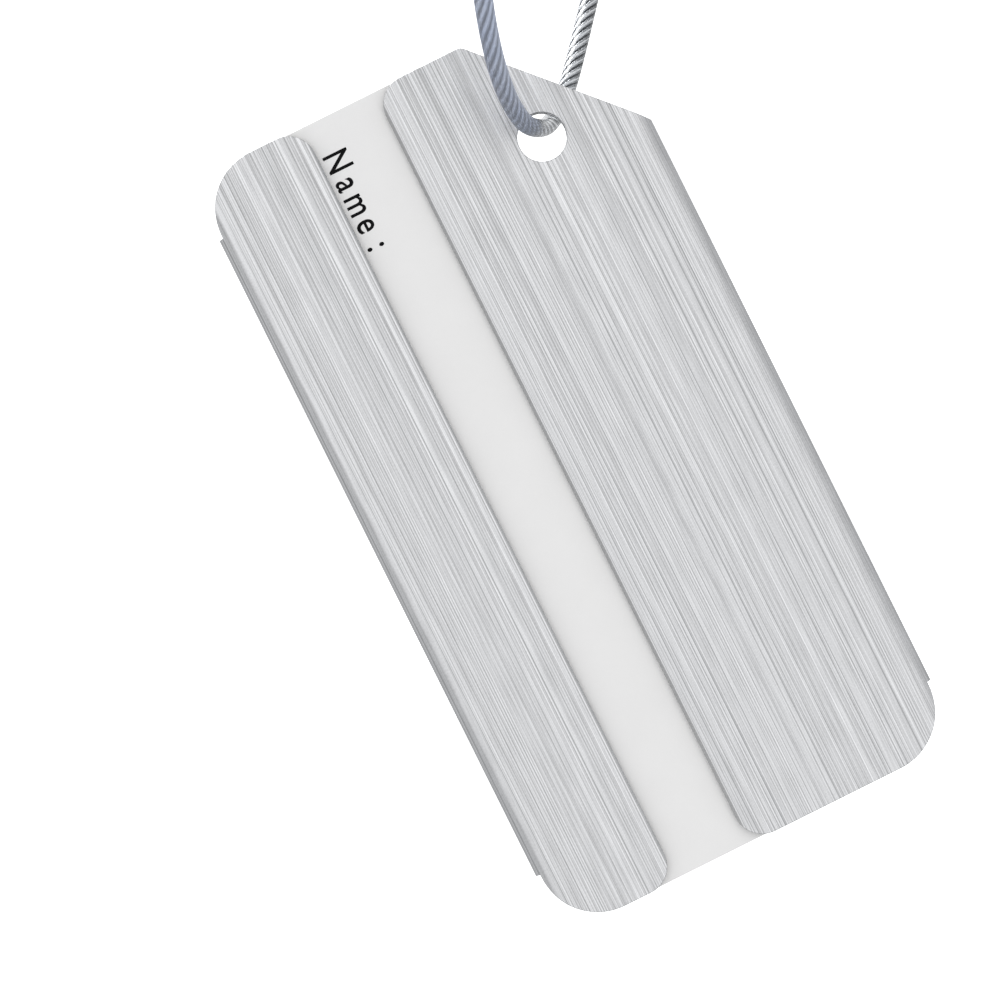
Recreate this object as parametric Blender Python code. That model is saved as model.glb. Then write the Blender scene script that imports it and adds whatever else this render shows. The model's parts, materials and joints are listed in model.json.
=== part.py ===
"""A luggage tag: a folded aluminium holder with its name card, hanging on a steel cable loop.

Metres, +Z up. The origin is the inside of the loop's top, where a bag's handle carries it. The front of
the tag faces -Y, and its long axis leans in the XZ plane, top end to the left. The loop stands in a vertical
plane that is turned a little from the Y axis, so that its back half shows to the right of its front half.
"""

import math

import bmesh
import bpy
from mathutils import Vector

# The holder's own frame: x across the tag, y through it, z towards its top end, origin at the hole's centre.
SHEET = 0.0008  # thickness of the aluminium sheet
CARD_GAP = 0.0010  # room for the card, between the back plate and the flaps
LEFT, RIGHT = -0.0319, 0.0101  # outer faces of the two folds
TOP, BOTTOM = 0.0111, -0.0689
LEFT_FLAP_EDGE, RIGHT_FLAP_EDGE = -0.0200, -0.0124  # the flaps' inner edges, and the window between them
HOLE_R = 0.00235
CORNER_R = 0.0060  # outer corners of the flaps and the back plate
FLAP_CORNER_R = 0.0028  # inner corners of the flaps
FOLD_END = 0.0062  # from the tag's ends to where the folds start
FOLD_STEP = 0.0004  # how far the folds stand out past the rounded corners
CROP_X, CROP_Z = 0.0133, 0.0142  # the diagonally cut corner, measured along the top end and along the fold
CROP_R = 0.0010  # rounding where the diagonal meets the edges
OUTER_R = SHEET + CARD_GAP / 2  # outside of a fold
INNER_R = CARD_GAP / 2  # inside of a fold

# The card
CARD = 0.0004
CARD_SIDE_GAP = 0.0003  # to the inside of the folds
CARD_END_GAP = 0.00005  # how far its ends lie inside the holder's
CARD_CORNER_R = 0.0055
SLOT_R = 0.0027  # open slot that lets the card slide out past the cable

# The cable loop, in its own plane: s across it, towards the back of the tag, and z up from its centre.
CABLE_R = 0.0009
LOOP_R = 0.0240
LOOP_TURN = math.radians(14.2)  # the loop's plane is turned this far from the Y axis
CABLE_STEP = 2.5 * 2 * CABLE_R  # between the points of the cable's tube
ROUTE = (
    (0.0242, -0.0021), (0.0242, -0.0053), (0.0233, -0.0079), (0.0215, -0.0101), (0.0195, -0.0122),
    (0.0173, -0.0145), (0.0150, -0.0168), (0.0122, -0.0193), (0.0085, -0.0217), (0.0044, -0.0234),
    (0.0000, -0.0240), (-0.0045, -0.0239), (-0.0088, -0.0229), (-0.0128, -0.0212), (-0.0163, -0.0188),
    (-0.0190, -0.0160), (-0.0210, -0.0128), (-0.0231, -0.0070), (-0.0240, 0.0000), (-0.0234, 0.0066),
    (-0.0211, 0.0124), (-0.0173, 0.0172), (-0.0122, 0.0209), (-0.0063, 0.0232), (0.0000, 0.0240),
    (0.0063, 0.0234), (0.0120, 0.0221), (0.0162, 0.0206), (0.0195, 0.0188), (0.0220, 0.0168),
    (0.0236, 0.0145), (0.0242, 0.0122), (0.0242, 0.0100), (0.0242, 0.0082),
)

# How the tag hangs
TILT = math.radians(26.5)  # lean of the tag's long axis
HANG = 0.00105  # the hole's centre is this far down the tag from the cable's centre
LOOP_CENTRE_Z = CABLE_R - LOOP_R
PIVOT_Z = LOOP_CENTRE_Z - LOOP_R  # centre of the cable where the tag hangs on it

# The screw closure, on the loop's back run: radii from its axis, heights from its own centre.
CLOSURE_S = ROUTE[0][0]
CLOSURE_Z = 0.0030  # its centre, above the loop's
FIT = 0.00015  # play between pieces that turn or slide in each other
THREAD_R = 0.00125
BORE_R = CABLE_R + FIT
STUD_FERRULE_R = 0.0016
STUD_FERRULE_Z = (-0.0076, -0.0029)
STUD_TOP = -0.0003
STUD_BORE_END = -0.0048
NUT_R = 0.0025
NUT_Z = (-0.0026, 0.0021)
NUT_CHAMBER_Z = (-0.00005, 0.0014)
COLLAR_R = 0.0014
FLANGE_R = 0.00185
FLANGE_Z = (0.0001, 0.0012)
COLLAR_TOP = 0.0065
COLLAR_BORE_END = 0.0026
CHAMFER = 0.0002
GRIP_GROOVE = 0.00012  # depth of the grooves that part the nut's grip into bands

ROUND = 48  # sides of the hole
TURNED = 32  # sides of the closure's pieces
CORNER_STEPS = 10
FOLD_STEPS = 12


def clear_scene():
    for obj in list(bpy.data.objects):
        bpy.data.objects.remove(obj, do_unlink=True)


def material(name, colour, roughness, metallic):
    made = bpy.data.materials.new(name)
    made.use_nodes = True
    shader = made.node_tree.nodes["Principled BSDF"]
    shader.inputs["Base Color"].default_value = (*colour, 1.0)
    shader.inputs["Roughness"].default_value = roughness
    shader.inputs["Metallic"].default_value = metallic
    made.diffuse_color = (*colour, 1.0)
    return made


def add_object(name, data, parent, location=(0, 0, 0), made_of=None):
    obj = bpy.data.objects.new(name, data)
    bpy.context.collection.objects.link(obj)
    obj.parent = parent
    obj.location = location
    if made_of:
        data.materials.append(made_of)
    return obj


def add_empty(name, location, rotation=(0, 0, 0)):
    empty = add_object(name, None, None, location)
    empty.rotation_euler = rotation
    empty.empty_display_size = 0.005
    return empty


def arc(centre, radius, start, end, steps):
    """Points of an arc, angles in degrees from +x towards +z (or +y)."""
    angles = [math.radians(start + (end - start) * i / steps) for i in range(steps + 1)]
    return [(centre[0] + radius * math.cos(a), centre[1] + radius * math.sin(a)) for a in angles]


def rounded(corners):
    """The outline through (x, z, radius) corners, with each corner replaced by an arc of its radius."""
    points = []
    for i, (x, z, radius) in enumerate(corners):
        here = Vector((x, z))
        if radius == 0:
            points.append((x, z))
            continue
        before = (Vector(corners[i - 1][:2]) - here).normalized()
        after = (Vector(corners[(i + 1) % len(corners)][:2]) - here).normalized()
        half = before.angle(after) / 2
        centre = here + (before + after).normalized() * (radius / math.sin(half))
        first = here + before * (radius / math.tan(half)) - centre
        last = here + after * (radius / math.tan(half)) - centre
        turn = first.angle_signed(last)
        for step in range(CORNER_STEPS + 1):
            angle = -turn * step / CORNER_STEPS
            spun = Vector((
                first.x * math.cos(angle) - first.y * math.sin(angle),
                first.x * math.sin(angle) + first.y * math.cos(angle),
            ))
            points.append(tuple(centre + spun))
    return points


def closed_mesh(name, bm):
    bmesh.ops.remove_doubles(bm, verts=bm.verts, dist=1e-7)
    bmesh.ops.recalc_face_normals(bm, faces=bm.faces)
    mesh = bpy.data.meshes.new(name)
    bm.to_mesh(mesh)
    bm.free()
    return mesh


def add_prism(bm, outline, low, high, axis):
    """Extrudes an outline given in the other two axes, from low to high along axis 1 (y) or 2 (z)."""
    if axis == 1:
        base = [bm.verts.new((x, low, z)) for x, z in outline]
        way = Vector((0, high - low, 0))
    else:
        base = [bm.verts.new((x, y, low)) for x, y in outline]
        way = Vector((0, 0, high - low))
    face = bm.faces.new(base)
    made = bmesh.ops.extrude_face_region(bm, geom=[face])
    moved = [item for item in made["geom"] if isinstance(item, bmesh.types.BMVert)]
    bmesh.ops.translate(bm, verts=moved, vec=way)


def prism_mesh(name, outlines, low, high, axis=1):
    bm = bmesh.new()
    for outline in outlines:
        add_prism(bm, outline, low, high, axis)
    return closed_mesh(name, bm)


def turned_mesh(name, profile, closed):
    """Spins a profile of (radius, z) points about the z axis. A closed profile leaves a bore."""
    bm = bmesh.new()
    points = [bm.verts.new((r, 0, z)) for r, z in profile]
    pairs = list(zip(points, points[1:]))
    if closed:
        pairs.append((points[-1], points[0]))
    edges = [bm.edges.new(pair) for pair in pairs]
    bmesh.ops.spin(
        bm,
        geom=points + edges,
        cent=(0, 0, 0),
        axis=(0, 0, 1),
        angle=math.tau,
        steps=TURNED,
        use_duplicate=False,
    )
    return closed_mesh(name, bm)


def smooth(obj, degrees=30):
    obj.data.shade_smooth()
    obj.data.set_sharp_from_angle(angle=math.radians(degrees))


def cutter(name, mesh, parent, location):
    obj = add_object(name, mesh, parent, location)
    obj.hide_render = True
    obj.display_type = "WIRE"
    return obj


def boolean(obj, operation, other):
    modifier = obj.modifiers.new(other.name, "BOOLEAN")
    modifier.operation = operation
    modifier.solver = "EXACT"
    modifier.object = other


def folded_section():
    """The holder cut across: back plate, both folds and both flaps, as one outline in x and y."""
    left, right = (LEFT + OUTER_R, 0), (RIGHT - OUTER_R, 0)
    outside = arc(left, OUTER_R, -90, -270, FOLD_STEPS) + arc(right, OUTER_R, 90, -90, FOLD_STEPS)
    inside = arc(right, INNER_R, -90, 90, FOLD_STEPS) + arc(left, INNER_R, 90, 270, FOLD_STEPS)
    right_edge = [(RIGHT_FLAP_EDGE, -OUTER_R), (RIGHT_FLAP_EDGE, -INNER_R)]
    left_edge = [(LEFT_FLAP_EDGE, -INNER_R), (LEFT_FLAP_EDGE, -OUTER_R)]
    return outside + right_edge + inside + left_edge


def holder_outline():
    """The tag seen from the front. Its straight sides lie just outside the folds, which keep their shape."""
    clear = 0.0001
    low, high = BOTTOM + FOLD_END, TOP - FOLD_END
    return rounded([
        (LEFT + FOLD_STEP, TOP, CORNER_R),
        (RIGHT - CROP_X, TOP, CROP_R),
        (RIGHT + clear, TOP - CROP_Z, CROP_R),
        (RIGHT + clear, low, 0),
        (RIGHT - FOLD_STEP, low, 0),
        (RIGHT - FOLD_STEP, BOTTOM, CORNER_R),
        (LEFT + FOLD_STEP, BOTTOM, CORNER_R),
        (LEFT + FOLD_STEP, low, 0),
        (LEFT - clear, low, 0),
        (LEFT - clear, high, 0),
        (LEFT + FOLD_STEP, high, 0),
    ])


def flap_corner(edge, end, side, up):
    """Cut from a flap's inner corner. side is +1 where the flap lies left of its edge, up is +1 at the top."""
    over = 0.001
    centre = (edge - side * FLAP_CORNER_R, end - up * FLAP_CORNER_R)
    bend = arc((0, 0), FLAP_CORNER_R, 0, 90, CORNER_STEPS)
    points = [(centre[0] + side * x, centre[1] + up * z) for x, z in bend]
    points.append((centre[0], end + up * over))
    points.append((edge + side * over, end + up * over))
    points.append((edge + side * over, centre[1]))
    return points


def tag_holder(pivot, made_of):
    place = (0, 0, -HANG)
    over = 0.003
    section = prism_mesh("tag_holder", [folded_section()], BOTTOM - over, TOP + over, axis=2)
    holder = add_object("tag_holder", section, pivot, place, made_of)
    outline = prism_mesh("holder_outline", [holder_outline()], -over, over)
    boolean(holder, "INTERSECT", cutter("holder_outline", outline, pivot, place))
    corners = prism_mesh("flap_corners", [
        flap_corner(edge, end, side, up)
        for edge, side in ((LEFT_FLAP_EDGE, 1), (RIGHT_FLAP_EDGE, -1))
        for end, up in ((TOP, 1), (BOTTOM, -1))
    ], -over, 0)
    boolean(holder, "DIFFERENCE", cutter("flap_corners", corners, pivot, place))
    ring = prism_mesh("hole", [arc((0, 0), HOLE_R, 0, 360, ROUND)[:-1]], -over, over)
    boolean(holder, "DIFFERENCE", cutter("hole", ring, pivot, place))
    smooth(holder)
    return holder


def name_card(pivot, made_of):
    place = (0, 0, -HANG)
    over = 0.003
    left = LEFT + SHEET + CARD_SIDE_GAP
    right = RIGHT - SHEET - CARD_SIDE_GAP
    top, bottom = TOP - CARD_END_GAP, BOTTOM + CARD_END_GAP
    slope = CROP_Z / CROP_X
    outline = rounded([
        (left, top, CARD_CORNER_R),
        (RIGHT - CROP_X - CARD_END_GAP, top, CROP_R),
        (right, top - slope * (right - RIGHT + CROP_X + CARD_END_GAP), CROP_R),
        (right, bottom, CARD_CORNER_R),
        (left, bottom, CARD_CORNER_R),
    ])
    sheet = prism_mesh("name_card", [outline], -CARD / 2, CARD / 2)
    card = add_object("name_card", sheet, pivot, place, made_of)
    slot_outline = arc((0, 0), SLOT_R, 180, 360, ROUND // 2) + [(SLOT_R, TOP + over), (-SLOT_R, TOP + over)]
    slot = prism_mesh("card_slot", [slot_outline], -over, over)
    boolean(card, "DIFFERENCE", cutter("card_slot", slot, pivot, place))
    smooth(card)
    return card


def route_point(t):
    """A point of the smooth curve through the route, t from 0 to the number of its spans (Catmull-Rom)."""
    last = len(ROUTE) - 1
    i = min(int(t), last - 1)
    part = t - i
    a, b, c, d = (Vector(ROUTE[max(0, min(last, k))]) for k in (i - 1, i, i + 1, i + 2))
    return 0.5 * (
        2 * b + (c - a) * part + (2 * a - 5 * b + 4 * c - d) * part**2 + (3 * b - a - 3 * c + d) * part**3
    )


def even_points(step):
    """Points at an even distance of about step along the route."""
    fine = [route_point((len(ROUTE) - 1) * i / 2000) for i in range(2001)]
    along = [0.0]
    for a, b in zip(fine, fine[1:]):
        along.append(along[-1] + (b - a).length)
    count = round(along[-1] / step)
    points, k = [], 0
    for i in range(count + 1):
        while along[k] < along[-1] * i / count and k < len(fine) - 1:
            k += 1
        points.append(fine[k])
    return points


def cable(loop, made_of):
    curve = bpy.data.curves.new("cable", "CURVE")
    curve.dimensions = "3D"
    curve.bevel_depth = CABLE_R
    curve.bevel_resolution = 2
    curve.use_fill_caps = True
    points = even_points(CABLE_STEP)
    spline = curve.splines.new("POLY")
    spline.points.add(len(points) - 1)
    for target, (s, z) in zip(spline.points, points):
        target.co = (s, 0, z, 1)
    spline.use_smooth = True
    return add_object("cable", curve, loop, (0, 0, 0), made_of)


def stud_ferrule(loop, made_of):
    low, shoulder = STUD_FERRULE_Z
    profile = [
        (0, STUD_TOP),
        (THREAD_R - CHAMFER, STUD_TOP),
        (THREAD_R, STUD_TOP - CHAMFER),
        (THREAD_R, shoulder),
        (STUD_FERRULE_R - CHAMFER, shoulder),
        (STUD_FERRULE_R, shoulder - CHAMFER),
        (STUD_FERRULE_R, low + CHAMFER),
        (STUD_FERRULE_R - CHAMFER, low),
        (BORE_R, low),
        (BORE_R, STUD_BORE_END),
        (0, STUD_BORE_END),
    ]
    mesh = turned_mesh("stud_ferrule", profile, False)
    obj = add_object("stud_ferrule", mesh, loop, (CLOSURE_S, 0, CLOSURE_Z), made_of)
    smooth(obj)
    return obj


def collar_ferrule(loop, made_of):
    flange_low, flange_high = FLANGE_Z
    profile = [
        (0, COLLAR_BORE_END),
        (BORE_R, COLLAR_BORE_END),
        (BORE_R, COLLAR_TOP),
        (COLLAR_R - CHAMFER, COLLAR_TOP),
        (COLLAR_R, COLLAR_TOP - CHAMFER),
        (COLLAR_R, flange_high),
        (FLANGE_R, flange_high),
        (FLANGE_R, flange_low),
        (0, flange_low),
    ]
    mesh = turned_mesh("collar_ferrule", profile, False)
    obj = add_object("collar_ferrule", mesh, loop, (CLOSURE_S, 0, CLOSURE_Z), made_of)
    smooth(obj)
    return obj


def sleeve_nut(loop, made_of):
    """The nut: the threaded bore below, the chamber for the collar's flange, and the lip that holds it."""
    low, high = NUT_Z
    chamber_low, chamber_high = NUT_CHAMBER_Z
    bands = 3
    band = (high - low - 2 * CHAMFER) / bands
    outside = [(NUT_R - CHAMFER, high), (NUT_R, high - CHAMFER)]
    for i in range(1, bands):
        z = high - CHAMFER - band * i
        outside += [
            (NUT_R, z + GRIP_GROOVE),
            (NUT_R - GRIP_GROOVE, z + GRIP_GROOVE / 2),
            (NUT_R - GRIP_GROOVE, z - GRIP_GROOVE / 2),
            (NUT_R, z - GRIP_GROOVE),
        ]
    outside += [(NUT_R, low + CHAMFER), (NUT_R - CHAMFER, low)]
    inside = [
        (THREAD_R + FIT, low),
        (THREAD_R + FIT, chamber_low),
        (FLANGE_R + FIT, chamber_low),
        (FLANGE_R + FIT, chamber_high),
        (COLLAR_R + FIT, chamber_high),
        (COLLAR_R + FIT, high),
    ]
    mesh = turned_mesh("sleeve_nut", outside + inside, True)
    obj = add_object("sleeve_nut", mesh, loop, (CLOSURE_S, 0, CLOSURE_Z), made_of)
    smooth(obj)
    return obj


def main():
    clear_scene()
    aluminium = material("brushed_aluminium", (0.62, 0.63, 0.63), 0.42, 1.0)
    card_stock = material("card_stock", (0.78, 0.78, 0.77), 0.60, 0.0)
    steel_rope = material("steel_cable", (0.40, 0.43, 0.48), 0.30, 1.0)
    plated = material("plated_steel", (0.60, 0.61, 0.63), 0.25, 1.0)

    pivot = add_empty("holder_pivot", (0, 0, PIVOT_Z), (0, -TILT, 0))
    loop = add_empty("loop_plane", (0, 0, LOOP_CENTRE_Z), (0, 0, math.pi / 2 - LOOP_TURN))
    tag_holder(pivot, aluminium)
    name_card(pivot, card_stock)
    cable(loop, steel_rope)
    stud_ferrule(loop, plated)
    collar_ferrule(loop, plated)
    sleeve_nut(loop, plated)


main()
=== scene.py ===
"""The looks of the luggage tag: a folded brushed aluminium holder with its card, on a steel cable loop.

Metres, +Z up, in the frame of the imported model. The front of the tag faces -Y. Every piece is built in place,
so that each object sits at the origin and its mesh holds the row's own coordinates.
"""

import json
import math

import bmesh
import bpy
from mathutils import Matrix, Vector
from mathutils.geometry import delaunay_2d_cdt


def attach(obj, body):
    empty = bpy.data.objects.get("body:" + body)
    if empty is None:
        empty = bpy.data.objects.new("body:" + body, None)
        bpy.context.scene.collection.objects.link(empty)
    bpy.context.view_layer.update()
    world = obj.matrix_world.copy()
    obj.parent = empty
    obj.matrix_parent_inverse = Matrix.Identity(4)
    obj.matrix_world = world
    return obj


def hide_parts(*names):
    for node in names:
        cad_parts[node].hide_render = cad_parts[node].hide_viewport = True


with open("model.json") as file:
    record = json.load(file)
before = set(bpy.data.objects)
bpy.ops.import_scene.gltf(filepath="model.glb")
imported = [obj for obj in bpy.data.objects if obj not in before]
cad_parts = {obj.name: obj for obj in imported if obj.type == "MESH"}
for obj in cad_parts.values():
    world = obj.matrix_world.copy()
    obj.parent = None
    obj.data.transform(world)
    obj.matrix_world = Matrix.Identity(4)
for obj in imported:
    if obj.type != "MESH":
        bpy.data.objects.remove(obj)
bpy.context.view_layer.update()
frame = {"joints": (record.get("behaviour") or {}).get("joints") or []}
joints = {joint["name"]: joint for joint in frame["joints"]}

# How the tag hangs: its own frame has x across it, y through it, z towards its top end, and its origin is the
# hole's centre.
HANG = 0.00105  # the hole's centre is this far down the tag from the cable's centre
down = Vector(joints["card_slide"]["axis"]).normalized()
pivot = Vector(joints["holder_swing"]["pos_m"])
hole_centre = pivot + down * HANG
TAG = Matrix((
    (-down.z, 0, -down.x, hole_centre.x),
    (0, 1, 0, hole_centre.y),
    (down.x, 0, -down.z, hole_centre.z),
    (0, 0, 0, 1),
))

# The camera looks straight at the tag.
VIEW_DISTANCE = 0.5
VIEW_WIDTH = 0.09524  # what the picture shows across, where the tag is
SENSOR = 36.0  # millimetres
VIEW_LEFT_OF_HOLE = 0.0040
VIEW_BELOW_HOLE = 0.0345

# The studio: soft boxes as (name, place, size, radiance), and a bowl that is floor and backdrop
SOFT_BOXES = (
    ("front_box", (0.0, -1.7, 0.15), 2.2, 0.55),
    ("left_strip", (-0.75, 0.25, 1.20), 0.9, 6.0),
    ("back_box", (0.3, 1.8, 0.5), 1.2, 0.35),
)
SURROUNDINGS = (0.70, 0.71, 0.72)
BOWL_FLOOR_R, BOWL_SWEEP_R = 1.6, 1.0
BOWL_FLOOR_Z, BOWL_TOP_Z = -1.0, 2.4

# The cable's loop: its plane holds the z axis and the direction s, and z is counted from the loop's centre.
CABLE_R = 0.0009
LOOP_R = 0.0240
LOOP_TURN = math.radians(14.2)
ROUTE = (
    (0.0242, -0.0021), (0.0242, -0.0053), (0.0233, -0.0079), (0.0215, -0.0101), (0.0195, -0.0122),
    (0.0173, -0.0145), (0.0150, -0.0168), (0.0122, -0.0193), (0.0085, -0.0217), (0.0044, -0.0234),
    (0.0000, -0.0240), (-0.0045, -0.0239), (-0.0088, -0.0229), (-0.0128, -0.0212), (-0.0163, -0.0188),
    (-0.0190, -0.0160), (-0.0210, -0.0128), (-0.0231, -0.0070), (-0.0240, 0.0000), (-0.0234, 0.0066),
    (-0.0211, 0.0124), (-0.0173, 0.0172), (-0.0122, 0.0209), (-0.0063, 0.0232), (0.0000, 0.0240),
    (0.0063, 0.0234), (0.0120, 0.0221), (0.0162, 0.0206), (0.0195, 0.0188), (0.0220, 0.0168),
    (0.0236, 0.0145), (0.0242, 0.0122), (0.0242, 0.0100), (0.0242, 0.0082),
)
CABLE_STEP = 0.0003
LAY = 0.0090  # length of one turn of a strand round the cable
STRANDS = 6  # round one more
STRAND_R = 0.00028
STRAND_TURN_R = 0.00053  # from the cable's centre to a strand's
WIRE_LAY = 0.0052  # length of one turn of a wire in its strand
WIRE_RELIEF = 0.35  # how much of the grooves between a strand's wires the coat leaves open

# The holder
SHEET = 0.0008
CARD_GAP = 0.0010
LEFT, RIGHT = -0.0319, 0.0101
TOP, BOTTOM = 0.0111, -0.0689
LEFT_FLAP_EDGE, RIGHT_FLAP_EDGE = -0.0200, -0.0124
HOLE_R = 0.00235
CORNER_R = 0.0060
FLAP_CORNER_R = 0.0028
FOLD_END = 0.0062
FOLD_STEP = 0.0004
CROP_X, CROP_Z = 0.0133, 0.0142
CROP_R = 0.0010
OUTER_R = SHEET + CARD_GAP / 2
NEUTRAL_R = OUTER_R - SHEET / 2
EDGE_R = 0.00007  # rounding of the sheet's cut edges
FLAP_EDGE_R = 0.00020  # rounding of the left flap's inner edge, outside
FLAP_BEVEL, FLAP_BEVEL_DROP = 0.00030, 0.00042  # width and depth of the bevel on the right flap's inner edge

# The card
CARD = 0.0004
CARD_SIDE_GAP = 0.0003
CARD_END_GAP = 0.00005
CARD_CORNER_R = 0.0055
SLOT_R = 0.0027
CARD_EDGE_R = 0.00008

# The lettering on the card, from the hole's centre
WORD = "Name:"
LETTER_PLACES = (0.00665, 0.00430, 0.00212, -0.00005, -0.00225)
LETTER_BASE = -0.0196
CAPITAL = 0.0025  # height of a capital letter
LETTER_NARROW = 0.78
LETTER_WEIGHT = 0.009  # added to the strokes' edges, as a share of the type size
INK = 0.00001

# The screw closure, on the loop's back run, heights from its own centre
CLOSURE_S = ROUTE[0][0]
CLOSURE_Z = 0.0030
FIT = 0.00015
THREAD_R = 0.00125
THREAD_PITCH = 0.00045
BORE_R = CABLE_R + FIT
STUD_FERRULE_R = 0.0016
STUD_FERRULE_Z = (-0.0076, -0.0029)
STUD_TOP = -0.0003
STUD_BORE_END = -0.0048
NUT_R = 0.0025
NUT_Z = (-0.0026, 0.0021)
NUT_CHAMBER_Z = (-0.00005, 0.0014)
COLLAR_R = 0.0014
FLANGE_R = 0.00185
FLANGE_Z = (0.0001, 0.0012)
COLLAR_TOP = 0.0065
COLLAR_BORE_END = 0.0026
STUD_CRIMP_Z = (STUD_FERRULE_Z[0] + 0.0006, STUD_FERRULE_Z[1] - 0.0005)
COLLAR_CRIMP_Z = (NUT_Z[1] + 0.0012, COLLAR_TOP - 0.0004)
CHAMFER = 0.0002
THREAD_DEPTH = 0.00022
THREAD_FADE = 0.0002  # length over which the stud's thread runs out
CRIMP_DEPTH = 0.00022
CRIMPS = 6  # flats that the crimping tool leaves round a ferrule
CRIMP_FADE = 0.0004
CRIMP_STEP = 0.00008
KNURL_DEPTH = 0.00013
KNURLS = 26  # points of the knurling round the nut
KNURL_RISE = 0.00060  # height of one point
GRIP_GROOVE = 0.00012  # depth and half width of the grooves between the knurled bands
GRIP_BANDS = 3


def arc(centre, radius, start, end, steps):
    """Points of an arc, angles in degrees from +x towards +z."""
    angles = [math.radians(start + (end - start) * i / steps) for i in range(steps + 1)]
    return [(centre[0] + radius * math.cos(a), centre[1] + radius * math.sin(a)) for a in angles]


def rounded(corners, steps=8):
    """The closed outline through (x, z, radius) corners, each corner replaced by an arc of its radius."""
    points = []
    for i, (x, z, radius) in enumerate(corners):
        here = Vector((x, z))
        if radius == 0:
            points.append((x, z))
            continue
        before = (Vector(corners[i - 1][:2]) - here).normalized()
        after = (Vector(corners[(i + 1) % len(corners)][:2]) - here).normalized()
        half = before.angle(after) / 2
        centre = here + (before + after).normalized() * (radius / math.sin(half))
        first = here + before * (radius / math.tan(half)) - centre
        last = here + after * (radius / math.tan(half)) - centre
        turn = first.angle_signed(last)
        for step in range(steps + 1):
            spun = Matrix.Rotation(turn * -step / steps, 2) @ first
            points.append(tuple(centre + spun))
    return points


def add_piece(name, bm, material, body, replaced=(), sharp=35):
    """Turns a bmesh that holds the row's coordinates into a piece that rides on a body."""
    mesh = bpy.data.meshes.new(name)
    bm.to_mesh(mesh)
    bm.free()
    mesh.materials.append(material)
    mesh.shade_smooth()
    mesh.set_sharp_from_angle(angle=math.radians(sharp))
    piece = bpy.data.objects.new(name, mesh)
    bpy.context.scene.collection.objects.link(piece)
    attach(piece, body)
    if replaced:
        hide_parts(*replaced)
    return piece


# ---------------------------------------------------------------- camera and light


def add_camera():
    data = bpy.data.cameras.new("camera")
    data.sensor_width = SENSOR
    data.lens = SENSOR * VIEW_DISTANCE / VIEW_WIDTH
    data.clip_start = 0.01
    data.clip_end = 20
    camera = bpy.data.objects.new("camera", data)
    bpy.context.scene.collection.objects.link(camera)
    target = hole_centre - Vector((VIEW_LEFT_OF_HOLE, 0, VIEW_BELOW_HOLE))
    camera.location = target - Vector((0, VIEW_DISTANCE, 0))
    camera.rotation_euler = (math.pi / 2, 0, 0)
    bpy.context.scene.camera = camera


def add_light(name, place, size, radiance):
    """A square soft box of the given radiance that faces the tag."""
    data = bpy.data.lights.new(name, "AREA")
    data.shape = "SQUARE"
    data.size = size
    data.energy = radiance * math.pi * size * size
    light = bpy.data.objects.new(name, data)
    bpy.context.scene.collection.objects.link(light)
    light.location = place
    aim = hole_centre - Vector(place)
    light.rotation_euler = aim.to_track_quat("-Z", "Y").to_euler()
    light.visible_camera = False


def add_studio():
    """A white bowl, which is floor and backdrop in one, a plain pale surrounding and three soft boxes."""
    profile = [(0.0, BOWL_FLOOR_Z), (BOWL_FLOOR_R * 0.5, BOWL_FLOOR_Z)]
    profile += arc((BOWL_FLOOR_R, BOWL_FLOOR_Z + BOWL_SWEEP_R), BOWL_SWEEP_R, -90, 0, 12)
    profile.append((BOWL_FLOOR_R + BOWL_SWEEP_R, BOWL_TOP_Z))
    bm = bmesh.new()
    points = [bm.verts.new((r, 0, z)) for r, z in profile]
    edges = [bm.edges.new(pair) for pair in zip(points, points[1:])]
    bmesh.ops.spin(
        bm,
        geom=points + edges,
        cent=(0, 0, 0),
        axis=(0, 0, 1),
        angle=math.tau,
        steps=64,
        use_duplicate=False,
    )
    bmesh.ops.remove_doubles(bm, verts=bm.verts, dist=1e-5)
    mesh = bpy.data.meshes.new("studio_bowl")
    bm.to_mesh(mesh)
    bm.free()
    mesh.shade_smooth()
    white = bpy.data.materials.new("studio_white")
    white.use_nodes = True
    shader = white.node_tree.nodes["Principled BSDF"]
    shader.inputs["Base Color"].default_value = (0.9, 0.9, 0.9, 1)
    shader.inputs["Roughness"].default_value = 0.9
    shader.inputs["Emission Color"].default_value = (1, 1, 1, 1)
    shader.inputs["Emission Strength"].default_value = 1.0
    mesh.materials.append(white)
    bowl = bpy.data.objects.new("studio_bowl", mesh)
    bpy.context.scene.collection.objects.link(bowl)
    bowl.visible_glossy = False
    bowl.visible_diffuse = False
    bowl.visible_transmission = False
    bowl.visible_shadow = False

    world = bpy.data.worlds.new("studio")
    world.use_nodes = True
    background = world.node_tree.nodes["Background"]
    background.inputs["Color"].default_value = (*SURROUNDINGS, 1)
    background.inputs["Strength"].default_value = 1.0
    bpy.context.scene.world = world

    for box in SOFT_BOXES:
        add_light(*box)
    bpy.context.scene.view_settings.view_transform = "Standard"


# ---------------------------------------------------------------- materials


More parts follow.
